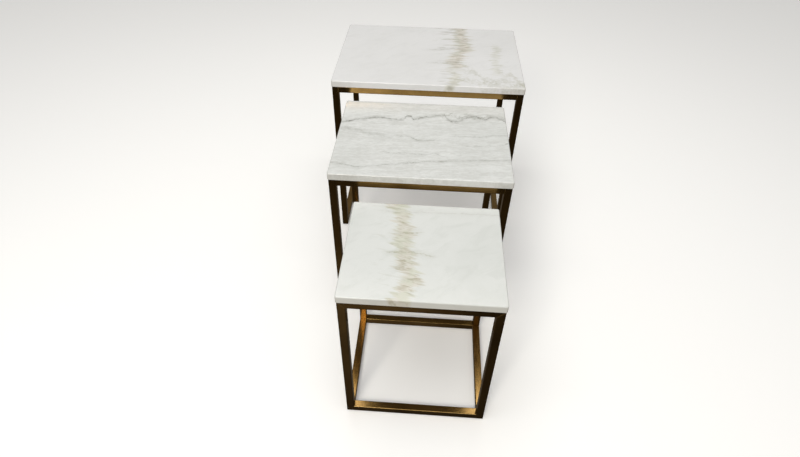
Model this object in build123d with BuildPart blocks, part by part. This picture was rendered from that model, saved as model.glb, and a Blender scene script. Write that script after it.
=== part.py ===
from build123d import *

import os
from dataclasses import dataclass

# Set of three nesting tables: polished stone slabs on welded frames of square tube.
#
# The tables stand pulled out, one in front of the other, with the small one nearest the front. Millimetres,
# +Z up, +Y towards the back of the set. The origin is on the floor, under the middle of the whole set's box.

# The large table's slab and height, and how much smaller each table is than the one it nests in.
LARGE_WIDTH = 590
LARGE_DEPTH = 434
LARGE_HEIGHT = 590
WIDTH_STEP = 108
DEPTH_STEP = 56
HEIGHT_STEP = 55

# How the pulled-out tables stand: the free floor between one slab and the next, and each table's shift in X.
MEDIUM_TO_LARGE_GAP = 15
SMALL_TO_MEDIUM_GAP = 39
MEDIUM_SHIFT = -5
SMALL_SHIFT = 14

# Slab.
SLAB_THICKNESS = 20
SLAB_OVERHANG = 2
SLAB_CORNER_RADIUS = 5
SLAB_TOP_EASE = 3
SLAB_BOTTOM_EASE = 1

# Square tube.
TUBE = 20
TUBE_WALL = 1.5
TUBE_CORNER_RADIUS = 1.6
TUBE_BORE = TUBE - 2 * TUBE_WALL
TUBE_BORE_RADIUS = 0.6

# Corner tabs, and the screws that hold the slab down on them.
TAB_SIDE = 48
TAB_THICKNESS = 3
TAB_NOSE = 6
TAB_HOLE_INSET = 15
TAB_HOLE_RADIUS = 2.8
SCREW_RADIUS = 2.4
SCREW_LENGTH = 12
SCREW_HEAD_RADIUS = 4.75
SCREW_HEAD_HEIGHT = 3
SCREW_HEAD_EASE = 1
SCREW_SOCKET_RADIUS = 1.5
SCREW_SOCKET_DEPTH = 1.8
INSERT_RADIUS = 4
INSERT_BORE_RADIUS = 2.5
INSERT_LENGTH = 10
INSERT_GROOVE_DEPTH = 0.5
INSERT_GROOVE_WIDTH = 1.5
GLUE_GAP = 0.2
SLAB_HOLE_DEPTH = 13

# Push-in foot glides.
GLIDE_HEIGHT = 3
GLIDE_RADIUS = 8
GLIDE_EASE = 1
GLIDE_INSET = 34
GLIDE_STEM_RADIUS = 3
GLIDE_HOLE_RADIUS = 3.3
GLIDE_BARB_RADIUS = 4
GLIDE_BARB_LIFT = 0.3
GLIDE_BARB_HEIGHT = 4

SET_DEPTH = 3 * LARGE_DEPTH - 3 * DEPTH_STEP + MEDIUM_TO_LARGE_GAP + SMALL_TO_MEDIUM_GAP


@dataclass(frozen=True)
class Table:
    """One table of the set: its slab's size and place, and its frame's faces."""

    name: str
    width: float
    depth: float
    height: float
    x: float
    front: float

    @property
    def centre(self):
        """Middle of the slab in plan."""
        return (self.x, self.front + self.depth / 2)

    @property
    def frame_width(self):
        """Width over the frame's outer faces."""
        return self.width - 2 * SLAB_OVERHANG

    @property
    def frame_depth(self):
        """Depth over the frame's outer faces."""
        return self.depth - 2 * SLAB_OVERHANG

    @property
    def frame_top(self):
        """Height of the face that the slab lies on."""
        return self.height - SLAB_THICKNESS

    @property
    def side_lines(self):
        """X of the left and right tubes' centre lines."""
        reach = self.frame_width / 2 - TUBE / 2
        return {"left": self.x - reach, "right": self.x + reach}

    @property
    def end_lines(self):
        """Y of the front and back tubes' centre lines."""
        reach = self.frame_depth / 2 - TUBE / 2
        return {"front": self.centre[1] - reach, "back": self.centre[1] + reach}

    @property
    def levels(self):
        """Z of the bottom and top tubes' centre lines."""
        return {"bottom": GLIDE_HEIGHT + TUBE / 2, "top": self.frame_top - TUBE / 2}

    def tab_holes(self):
        """The four screw holes in plan, set in from the inner corners of the top ring."""
        spacing_x = self.frame_width - 2 * (TUBE + TAB_HOLE_INSET)
        spacing_y = self.frame_depth - 2 * (TUBE + TAB_HOLE_INSET)
        return GridLocations(spacing_x, spacing_y, 2, 2)


def save(piece, label):
    """Label a finished piece and write it as one STEP file."""
    piece.part.label = label
    export_step(piece.part, f"parts/{label}.step")


def make_slab(table):
    """The stone top, with eased edges and four blind holes for the inserts in its underside."""
    with BuildPart() as slab:
        with BuildSketch(Plane(origin=(*table.centre, table.frame_top))):
            RectangleRounded(table.width, table.depth, SLAB_CORNER_RADIUS)
        extrude(amount=SLAB_THICKNESS)
        fillet(slab.faces().sort_by(Axis.Z)[-1].edges(), SLAB_TOP_EASE)
        fillet(slab.faces().sort_by(Axis.Z)[0].edges(), SLAB_BOTTOM_EASE)
        with BuildSketch(Plane(origin=(*table.centre, table.frame_top))):
            with table.tab_holes():
                Circle(INSERT_RADIUS + GLUE_GAP)
        extrude(amount=SLAB_HOLE_DEPTH, mode=Mode.SUBTRACT)
    save(slab, f"{table.name}_top_slab")


def make_tube(label, start, end, mitres=(), glide_points=()):
    """One hollow square tube from start to end along its centre line.

    Each mitre is a plane whose positive side is kept. Each glide point is a hole in the tube's underside.
    """
    run = end - start
    side = Vector(0, 1, 0) if abs(run.Y) < abs(run.X) + abs(run.Z) else Vector(1, 0, 0)
    with BuildPart() as tube:
        with BuildSketch(Plane(origin=start, x_dir=side, z_dir=run)):
            RectangleRounded(TUBE, TUBE, TUBE_CORNER_RADIUS)
            RectangleRounded(TUBE_BORE, TUBE_BORE, TUBE_BORE_RADIUS, mode=Mode.SUBTRACT)
        extrude(amount=run.length)
        for mitre in mitres:
            split(bisect_by=mitre, keep=Keep.TOP)
        if glide_points:
            with BuildSketch(Plane.XY.offset(GLIDE_HEIGHT)):
                with Locations(*glide_points):
                    Circle(GLIDE_HOLE_RADIUS)
            extrude(amount=TUBE_WALL, mode=Mode.SUBTRACT)
    save(tube, label)


def make_mitred_loop(labels, corners, glides):
    """Four tubes round a rectangle, mitred where they meet.

    corners are points on the centre lines, in order; labels[i] is the tube from corner i to the next one, and
    glides maps a label to the glide holes in that tube.
    """
    for index, label in enumerate(labels):
        before, start, end, after = (corners[(index + turn) % 4] for turn in (-1, 0, 1, 2))
        along = (end - start).normalized()
        overrun = along * (TUBE / 2)
        start_mitre = Plane(origin=start, z_dir=along - (before - start).normalized())
        end_mitre = Plane(origin=end, z_dir=-along - (after - end).normalized())
        make_tube(label, start - overrun, end + overrun, (start_mitre, end_mitre), glides.get(label, ()))


def glide_spots(table, rails):
    """Glide positions in plan for each bottom rail that carries them.

    rails is ("left", "right") or ("front", "back"): each of these rails has a glide near both of its ends.
    """
    reach_x = table.frame_width / 2 - GLIDE_INSET
    reach_y = table.frame_depth / 2 - GLIDE_INSET
    spots = {}
    for rail in rails:
        label = f"{table.name}_bottom_rail_{rail}"
        if rail in table.side_lines:
            spots[label] = [(table.side_lines[rail], table.centre[1] + reach) for reach in (-reach_y, reach_y)]
        else:
            spots[label] = [(table.x + reach, table.end_lines[rail]) for reach in (-reach_x, reach_x)]
    return spots


def make_open_frame(table):
    """Frame of a table that another one nests in: mitred side loops, and no bottom rail across the front."""
    name, ends, levels = table.name, table.end_lines, table.levels
    spots = glide_spots(table, ("left", "right"))
    for side, x in table.side_lines.items():
        labels = [
            f"{name}_bottom_rail_{side}",
            f"{name}_leg_back_{side}",
            f"{name}_top_rail_{side}",
            f"{name}_leg_front_{side}",
        ]
        corners = [
            Vector(x, ends["front"], levels["bottom"]),
            Vector(x, ends["back"], levels["bottom"]),
            Vector(x, ends["back"], levels["top"]),
            Vector(x, ends["front"], levels["top"]),
        ]
        make_mitred_loop(labels, corners, spots)
    reach = Vector(table.frame_width / 2 - TUBE, 0, 0)
    for level, end in (("top", "front"), ("top", "back"), ("bottom", "back")):
        middle = Vector(table.x, ends[end], levels[level])
        make_tube(f"{name}_{level}_rail_{end}", middle - reach, middle + reach)
    return spots


def make_closed_frame(table):
    """Frame of the innermost table: mitred front and back loops, joined by rails along both sides."""
    name, sides, levels = table.name, table.side_lines, table.levels
    spots = glide_spots(table, ("front", "back"))
    for end, y in table.end_lines.items():
        labels = [
            f"{name}_bottom_rail_{end}",
            f"{name}_leg_{end}_right",
            f"{name}_top_rail_{end}",
            f"{name}_leg_{end}_left",
        ]
        corners = [
            Vector(sides["left"], y, levels["bottom"]),
            Vector(sides["right"], y, levels["bottom"]),
            Vector(sides["right"], y, levels["top"]),
            Vector(sides["left"], y, levels["top"]),
        ]
        make_mitred_loop(labels, corners, spots)
    reach = Vector(0, table.frame_depth / 2 - TUBE, 0)
    for level, z in levels.items():
        for side, x in sides.items():
            middle = Vector(x, table.centre[1], z)
            make_tube(f"{name}_{level}_rail_{side}", middle - reach, middle + reach)
    return spots


def make_tabs(table):
    """The four triangular plates in the corners of the top ring, flush with its upper face."""
    reach_x = table.frame_width / 2 - TUBE
    reach_y = table.frame_depth / 2 - TUBE
    for end, toward_y in (("front", 1), ("back", -1)):
        for side, toward_x in (("left", 1), ("right", -1)):
            x = table.x - toward_x * reach_x
            y = table.centre[1] - toward_y * reach_y
            far_x = x + toward_x * TAB_SIDE
            far_y = y + toward_y * TAB_SIDE
            nose_x = x + toward_x * TAB_NOSE
            nose_y = y + toward_y * TAB_NOSE
            hole = (x + toward_x * TAB_HOLE_INSET, y + toward_y * TAB_HOLE_INSET)
            with BuildPart() as tab:
                with BuildSketch(Plane.XY.offset(table.frame_top - TAB_THICKNESS)):
                    with BuildLine():
                        Polyline((x, y), (far_x, y), (far_x, nose_y), (nose_x, far_y), (x, far_y), close=True)
                    make_face()
                    with Locations(hole):
                        Circle(TAB_HOLE_RADIUS, mode=Mode.SUBTRACT)
                extrude(amount=TAB_THICKNESS)
            save(tab, f"{table.name}_corner_tab_{end}_{side}")


def make_screws(table):
    """The four button head screws: heads under the tabs, shanks up into the inserts."""
    head_top = table.frame_top - TAB_THICKNESS
    head_bottom = head_top - SCREW_HEAD_HEIGHT
    with BuildPart() as screws:
        with BuildSketch(Plane(origin=(*table.centre, head_bottom))):
            with table.tab_holes():
                Circle(SCREW_HEAD_RADIUS)
        extrude(amount=SCREW_HEAD_HEIGHT)
        fillet(screws.edges().group_by(Axis.Z)[0], SCREW_HEAD_EASE)
        with BuildSketch(Plane(origin=(*table.centre, head_top))):
            with table.tab_holes():
                Circle(SCREW_RADIUS)
        extrude(amount=SCREW_LENGTH)
        with BuildSketch(Plane(origin=(*table.centre, head_bottom))):
            with table.tab_holes():
                RegularPolygon(SCREW_SOCKET_RADIUS, 6, major_radius=False)
        extrude(amount=SCREW_SOCKET_DEPTH, mode=Mode.SUBTRACT)
    save(screws, f"{table.name}_slab_screws")


def make_inserts(table):
    """The four threaded inserts, glued into the slab's blind holes, each with a groove for the glue."""
    groove_radius = INSERT_RADIUS - INSERT_GROOVE_DEPTH
    groove_height = table.frame_top + (INSERT_LENGTH - INSERT_GROOVE_WIDTH) / 2
    with BuildPart() as inserts:
        with BuildSketch(Plane(origin=(*table.centre, table.frame_top))):
            with table.tab_holes():
                Circle(INSERT_RADIUS)
                Circle(INSERT_BORE_RADIUS, mode=Mode.SUBTRACT)
        extrude(amount=INSERT_LENGTH)
        with BuildSketch(Plane(origin=(*table.centre, groove_height))):
            with table.tab_holes():
                Circle(INSERT_RADIUS)
                Circle(groove_radius, mode=Mode.SUBTRACT)
        extrude(amount=INSERT_GROOVE_WIDTH, mode=Mode.SUBTRACT)
    save(inserts, f"{table.name}_slab_inserts")


def make_glides(table, spots):
    """The push-in glides: a pad under the rail, and a barbed stem through its lower wall."""
    wall_top = GLIDE_HEIGHT + TUBE_WALL
    barb_base = wall_top + GLIDE_BARB_LIFT
    points = [spot for rail_spots in spots.values() for spot in rail_spots]
    with BuildPart() as glides:
        with BuildSketch():
            with Locations(*points):
                Circle(GLIDE_RADIUS)
        extrude(amount=GLIDE_HEIGHT)
        fillet(glides.edges().group_by(Axis.Z)[0], GLIDE_EASE)
        with BuildSketch(Plane.XY.offset(GLIDE_HEIGHT)):
            with Locations(*points):
                Circle(GLIDE_STEM_RADIUS)
        extrude(amount=barb_base - GLIDE_HEIGHT)
        with BuildSketch(Plane.XY.offset(barb_base)):
            with Locations(*points):
                Circle(GLIDE_BARB_RADIUS)
        extrude(amount=GLIDE_BARB_HEIGHT, taper=30)
    save(glides, f"{table.name}_foot_glides")


def make_set():
    """Build every table of the set, each one smaller than the one it nests in."""
    small_front = -SET_DEPTH / 2
    small_depth = LARGE_DEPTH - 2 * DEPTH_STEP
    medium_front = small_front + small_depth + SMALL_TO_MEDIUM_GAP
    large_front = SET_DEPTH / 2 - LARGE_DEPTH
    places = {"large": (0, large_front), "medium": (MEDIUM_SHIFT, medium_front), "small": (SMALL_SHIFT, small_front)}
    for size, (name, (x, front)) in enumerate(places.items()):
        table = Table(
            name,
            LARGE_WIDTH - size * WIDTH_STEP,
            LARGE_DEPTH - size * DEPTH_STEP,
            LARGE_HEIGHT - size * HEIGHT_STEP,
            x,
            front,
        )
        make_slab(table)
        spots = make_closed_frame(table) if name == "small" else make_open_frame(table)
        make_tabs(table)
        make_screws(table)
        make_inserts(table)
        make_glides(table, spots)


os.makedirs("parts", exist_ok=True)
make_set()
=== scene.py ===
"""Three nesting tables pulled out in a row: polished marble slabs on antique brass frames."""
import logging
import math
from dataclasses import dataclass, field
from enum import Enum
from typing import ClassVar

import bmesh
import bpy
from mathutils import Matrix, Vector


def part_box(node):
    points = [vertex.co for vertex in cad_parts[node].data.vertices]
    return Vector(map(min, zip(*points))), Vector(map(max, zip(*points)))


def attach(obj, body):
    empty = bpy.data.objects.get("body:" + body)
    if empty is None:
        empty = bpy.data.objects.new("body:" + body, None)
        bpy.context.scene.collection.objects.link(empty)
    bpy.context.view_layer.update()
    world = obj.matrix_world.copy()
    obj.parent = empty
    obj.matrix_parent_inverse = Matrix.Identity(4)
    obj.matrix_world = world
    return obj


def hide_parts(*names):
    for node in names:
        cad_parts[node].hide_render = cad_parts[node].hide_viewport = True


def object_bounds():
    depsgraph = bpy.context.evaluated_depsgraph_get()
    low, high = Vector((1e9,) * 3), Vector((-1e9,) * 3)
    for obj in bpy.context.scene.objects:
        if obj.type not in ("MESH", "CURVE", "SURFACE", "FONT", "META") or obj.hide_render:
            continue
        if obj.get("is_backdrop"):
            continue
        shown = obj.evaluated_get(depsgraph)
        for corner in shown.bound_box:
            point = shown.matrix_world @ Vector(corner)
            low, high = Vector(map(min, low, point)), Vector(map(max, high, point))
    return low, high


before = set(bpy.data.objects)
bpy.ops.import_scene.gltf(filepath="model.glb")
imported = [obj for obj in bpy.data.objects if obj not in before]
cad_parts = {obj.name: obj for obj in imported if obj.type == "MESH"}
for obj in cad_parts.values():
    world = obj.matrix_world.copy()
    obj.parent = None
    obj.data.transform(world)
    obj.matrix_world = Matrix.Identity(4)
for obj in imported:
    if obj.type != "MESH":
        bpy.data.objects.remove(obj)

log = logging.getLogger("nesting_tables")

Triple = tuple[float, float, float]
Colour = Triple
Point = tuple[float, float]
Ramp = tuple[float, float, float, float]
Socket = bpy.types.NodeSocket

MM = 0.001
SMOOTH_LIMIT = math.radians(35)  # Folds sharper than this keep a sharp edge.
FLAT_NORMAL = 0.9995  # A face whose normal is this near an axis is shaded flat.
MIX_FIRST, MIX_SECOND, MIX_RESULT = 6, 7, 2  # The Mix node's colour inputs and output.
RANDOM_LOW, RANDOM_HIGH, RANDOM_RESULT = 2, 3, 1  # The Random Value node's number inputs and output.


class Side(Enum):
    """Which way the long side of a tube's mitres points."""

    LEFT = (-1.0, 0.0, 0.0)
    RIGHT = (1.0, 0.0, 0.0)
    FRONT = (0.0, -1.0, 0.0)
    BACK = (0.0, 1.0, 0.0)
    DOWN = (0.0, 0.0, -1.0)
    UP = (0.0, 0.0, 1.0)


class Polish(Enum):
    """How a stone face was finished, as its roughness from smoothest to dullest."""

    POLISHED = (0.13, 0.24)
    # The sawn underside; its material also carries painted shade.
    SAWN = (0.55, 0.72)


@dataclass
class Wiring:
    """Adds nodes to one node tree, so that each step of a pattern is one line."""

    tree: bpy.types.NodeTree

    def add(self, kind: str, inputs: dict | None = None, **settings: object) -> bpy.types.Node:
        """Add one node.

        Args:
            kind: Blender's class name of the node.
            inputs: Input name or number to a value or to the socket that feeds it.
            settings: Properties of the node itself.

        Returns:
            The new node.
        """
        node = self.tree.nodes.new(kind)
        for name, value in settings.items():
            setattr(node, name, value)
        self.feed(node, inputs or {})
        return node

    def feed(self, node: bpy.types.Node, inputs: dict) -> None:
        """Set a node's inputs.

        Args:
            node: The node.
            inputs: Input name or number to a value or to the socket that feeds it.
        """
        for key, value in inputs.items():
            if isinstance(value, Socket):
                self.tree.links.new(value, node.inputs[key])
            else:
                node.inputs[key].default_value = value

    def math(self, operation: str, *values: Socket | float, clamp: bool = False) -> Socket:
        """Result of a Math node.

        Args:
            operation: Name of the operation.
            values: Its inputs in order.
            clamp: Whether the result is kept between 0 and 1.

        Returns:
            The result's socket.
        """
        node = self.add("ShaderNodeMath", dict(enumerate(values)), operation=operation)
        node.use_clamp = clamp
        return node.outputs[0]

    def times(self, first: Socket | float, second: Socket | float) -> Socket:
        """Product of two values."""
        return self.math("MULTIPLY", first, second)

    def plus(self, first: Socket | float, second: Socket | float) -> Socket:
        """Sum of two values."""
        return self.math("ADD", first, second)

    def minus(self, first: Socket | float, second: Socket | float) -> Socket:
        """First value less the second."""
        return self.math("SUBTRACT", first, second)

    def span(
        self,
        value: Socket,
        low: Socket | float,
        high: Socket | float,
        start: float = 0.0,
        end: float = 1.0,
    ) -> Socket:
        """Ease a value smoothly from start to end as it goes from low to high.

        Args:
            value: The value that is read.
            low: Value at which the result is start.
            high: Value at which the result is end.
            start: Result at and below low.
            end: Result at and above high.

        Returns:
            The result's socket.
        """
        inputs = {"Value": value, "From Min": low, "From Max": high, "To Min": start, "To Max": end}
        return self.add("ShaderNodeMapRange", inputs, interpolation_type="SMOOTHSTEP").outputs["Result"]

    def mix(
        self,
        share: Socket | float,
        first: Socket | Colour,
        second: Socket | Colour,
        blend: str = "MIX",
    ) -> Socket:
        """Mix two colours.

        Args:
            share: How much of the second colour shows.
            first: Colour underneath.
            second: Colour laid over it.
            blend: Blend type.

        Returns:
            The mixed colour's socket.
        """
        inputs = {0: share}
        for key, colour in ((MIX_FIRST, first), (MIX_SECOND, second)):
            inputs[key] = colour if isinstance(colour, Socket) else (*colour, 1.0)
        return self.add("ShaderNodeMix", inputs, data_type="RGBA", blend_type=blend).outputs[MIX_RESULT]

    def place(
        self,
        vector: Socket,
        shift: Triple = (0, 0, 0),
        turn: float = 0.0,
        scale: Triple = (1, 1, 1),
    ) -> Socket:
        """Turn coordinates about Z, then stretch and shift them.

        Args:
            vector: Coordinates that are read.
            shift: Shift added last.
            turn: How far the pattern is turned, in degrees anticlockwise seen from above.
            scale: Stretch along each axis.

        Returns:
            The new coordinates' socket.
        """
        if turn:
            angle = {"Vector": vector, "Angle": math.radians(-turn)}
            vector = self.add("ShaderNodeVectorRotate", angle, rotation_type="Z_AXIS").outputs[0]
        inputs = {"Vector": vector, "Location": shift, "Scale": scale}
        return self.add("ShaderNodeMapping", inputs).outputs[0]

    def noise(
        self,
        vector: Socket,
        scale: float,
        detail: float = 3.0,
        roughness: float = 0.55,
        distortion: float = 0.0,
    ) -> Socket:
        """Noise between 0 and 1.

        Args:
            vector: Coordinates that are read.
            scale: Waves per metre of those coordinates.
            detail: Finer octaves.
            roughness: Strength of the finer octaves.
            distortion: How far the noise bends itself.

        Returns:
            The noise's socket.
        """
        inputs = {"Vector": vector, "Scale": scale, "Detail": detail}
        inputs.update({"Roughness": roughness, "Distortion": distortion})
        return self.add("ShaderNodeTexNoise", inputs).outputs["Fac"]

    def grain(
        self,
        vector: Socket,
        waves: Triple,
        detail: float = 3.0,
        roughness: float = 0.55,
        distortion: float = 0.0,
        shift: Triple = (0, 0, 0),
        turn: float = 0.0,
    ) -> Socket:
        """Noise that is drawn out along some axes.

        Args:
            vector: Coordinates in metres.
            waves: Waves per metre along each axis.
            detail: Finer octaves.
            roughness: Strength of the finer octaves.
            distortion: How far the noise bends itself.
            shift: Shift of the pattern, in waves.
            turn: How far the pattern is turned, in degrees anticlockwise seen from above.

        Returns:
            The noise's socket.
        """
        return self.noise(self.place(vector, shift, turn, waves), 1.0, detail, roughness, distortion)

    def course(self, value: Socket, points: tuple[Point, ...], handle: str = "AUTO") -> Socket:
        """Read a curve through listed points.

        Args:
            value: Where along the curve it is read, from 0 to 1.
            points: Handles of the curve, from its start to its end.
            handle: AUTO for a smooth curve, VECTOR for an angular one.

        Returns:
            The curve's height at that value.
        """
        node = self.add("ShaderNodeFloatCurve", {"Value": value})
        line = node.mapping.curves[0]
        for point, place in zip((line.points[0], line.points[1]), (points[0], points[-1])):
            point.location = place
        for place in points[1:-1]:
            line.points.new(*place)
        for point in line.points:
            point.handle_type = handle
        node.mapping.update()
        return node.outputs[0]


def start_material(name: str) -> tuple[bpy.types.Material, Wiring, bpy.types.Node]:
    """Start a material.

    Args:
        name: The material's name.

    Returns:
        The material, the wiring of its tree, and its shader.
    """
    material = bpy.data.materials.new(name)
    material.use_nodes = True
    return material, Wiring(material.node_tree), material.node_tree.nodes["Principled BSDF"]


@dataclass(frozen=True)
class SlabPlace:
    """Where a slab's pattern is read: in metres, and as shares of its width and depth.

    A share is 0 at the slab's left or back edge, and 1 at its right or front edge.
    """

    metres: Socket
    across: Socket
    along: Socket
    width: float
    depth: float


@dataclass(frozen=True)
class Vein:
    """A thin dark line that runs across a slab from left to right, with its course in shares of the slab."""

    THINNING: ClassVar[Ramp] = (0.3, 0.75, 0.35, 1.5)
    BREAKING: ClassVar[Ramp] = (0.25, 0.55, 0.35, 1.0)
    HALO_REACH: ClassVar[float] = 5.0
    FADE: ClassVar[float] = 0.1

    course: tuple[Point, ...]
    width: float = 2.0 * MM
    strength: float = 0.5
    wander: float = 5.0 * MM
    halo: float = 0.25
    start: float = -0.1
    end: float = 1.1
    colour: Colour = (0.20, 0.205, 0.17)

    def mask(self, wiring: Wiring, spot: SlabPlace, wobble: Socket, breaks: Socket) -> Socket:
        """How strongly the vein shows at a point.

        Args:
            wiring: Node tree that the vein joins.
            spot: Where the pattern is read.
            wobble: Noise about 0 that makes the line wander.
            breaks: Noise from 0 to 1 that thins and breaks the line.

        Returns:
            Socket of a mask from 0 to 1.
        """
        centre = wiring.course(spot.across, self.course, "VECTOR")
        offset = wiring.times(wiring.minus(spot.along, centre), spot.depth)
        offset = wiring.math("MULTIPLY_ADD", wobble, self.wander, offset)
        distance = wiring.math("ABSOLUTE", offset)
        width = wiring.times(wiring.span(breaks, *self.THINNING), self.width)
        line = wiring.span(distance, 0.0, width, 1.0, 0.0)
        halo = wiring.span(distance, 0.0, self.width * self.HALO_REACH, self.halo, 0.0)
        both = wiring.math("MAXIMUM", line, halo)
        broken = wiring.times(both, wiring.span(breaks, *self.BREAKING))
        shown = wiring.times(wiring.span(spot.across, self.start, self.start + self.FADE), self.strength)
        ended = wiring.times(shown, wiring.span(spot.across, self.end - self.FADE, self.end, 1.0, 0.0))
        return wiring.times(broken, ended)


@dataclass(frozen=True)
class Band:
    """A golden or olive band that runs from a slab's back to its front, made of short ragged strokes."""

    EDGE_WAVES: ClassVar[Triple] = (9, 85, 9)
    EDGE_SWING: ClassVar[float] = 4.0
    CORE: ClassVar[Point] = (0.45, 1.3)
    FRINGE: ClassVar[Point] = (0.8, 2.6)
    FADE: ClassVar[float] = 0.12
    PATCH_WAVES: ClassVar[Triple] = (30, 34, 30)
    THIN_FILL: ClassVar[float] = 0.55
    STROKE_WAVES: ClassVar[Triple] = (30, 125, 30)
    FAINT_STROKE: ClassVar[float] = 0.55
    WISP_WAVES: ClassVar[Triple] = (16, 95, 16)

    course: tuple[Point, ...]
    half_width: float = 26 * MM
    ragged: float = 26 * MM
    fill: float = 0.45
    strokes: float = 0.9
    wisps: float = 0.45
    tilt: float = 0.0
    start: float = -0.2
    end: float = 1.2
    tint: Colour = (0.60, 0.53, 0.40)
    second_tint: Colour = (0.53, 0.52, 0.40)
    dark: Colour = (0.26, 0.215, 0.125)
    grey: Colour = (0.33, 0.32, 0.26)
    seed: float = 0.0

    def reach(self, wiring: Wiring, spot: SlabPlace) -> tuple[Socket, Socket]:
        """How deep inside the band a point lies.

        Args:
            wiring: Node tree that the band joins.
            spot: Where the pattern is read.

        Returns:
            A mask that is 1 inside the band's ragged edge, and a wider one that also takes in its left side.
        """
        centre = wiring.course(spot.along, self.course)
        offset = wiring.times(wiring.minus(spot.across, centre), spot.width)
        shift = (self.seed, 0, 0)
        streaks = wiring.grain(spot.metres, self.EDGE_WAVES, 3.0, 0.6, shift=shift, turn=self.tilt)
        moved = wiring.plus(offset, wiring.times(wiring.minus(streaks, 0.5), self.EDGE_SWING * self.ragged))
        started = wiring.span(spot.along, self.start, self.start + self.FADE)
        shown = wiring.times(started, wiring.span(spot.along, self.end - self.FADE, self.end, 1.0, 0.0))
        core = [self.half_width * share for share in self.CORE]
        inside = wiring.span(wiring.math("ABSOLUTE", moved), *core, 1.0, 0.0)
        leftward = wiring.math("ABSOLUTE", wiring.plus(moved, self.half_width))
        fringe = [self.half_width * share for share in self.FRINGE]
        near = wiring.span(leftward, *fringe, 1.0, 0.0)
        return wiring.times(inside, shown), wiring.times(near, shown)

    def paint(self, wiring: Wiring, spot: SlabPlace, colour: Socket) -> Socket:
        """Lay the band over the stone: a patchy tint, then ragged strokes, then wisps at its left.

        Args:
            wiring: Node tree that the band joins.
            spot: Where the pattern is read.
            colour: The stone under the band.

        Returns:
            The stone's colour with the band on it.
        """
        inside, near = self.reach(wiring, spot)
        patches = wiring.grain(spot.metres, self.PATCH_WAVES, 2.0, 0.5, shift=(self.seed, 9, 0))
        tint = wiring.mix(wiring.span(patches, 0.42, 0.6), self.tint, self.second_tint)
        filled = wiring.times(inside, wiring.span(patches, 0.25, 0.6, self.fill * self.THIN_FILL, self.fill))
        colour = wiring.mix(filled, colour, tint)
        shift = (self.seed + 3, 1, 0)
        marks = wiring.grain(spot.metres, self.STROKE_WAVES, 3.5, 0.62, 0.5, shift, self.tilt)
        faint = wiring.times(wiring.span(marks, 0.47, 0.60), self.strokes * self.FAINT_STROKE)
        strong = wiring.times(wiring.span(marks, 0.56, 0.67), self.strokes)
        drawn = wiring.times(wiring.math("MAXIMUM", faint, strong), inside)
        stroke = wiring.mix(wiring.span(patches, 0.45, 0.62), self.dark, self.grey)
        colour = wiring.mix(drawn, colour, stroke)
        shift = (self.seed + 7, 2, 0)
        wisps = wiring.grain(spot.metres, self.WISP_WAVES, 3.0, 0.55, 0.4, shift, self.tilt)
        around = wiring.times(near, wiring.span(wisps, 0.54, 0.68, 0.0, self.wisps))
        return wiring.mix(around, colour, self.grey)


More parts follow.
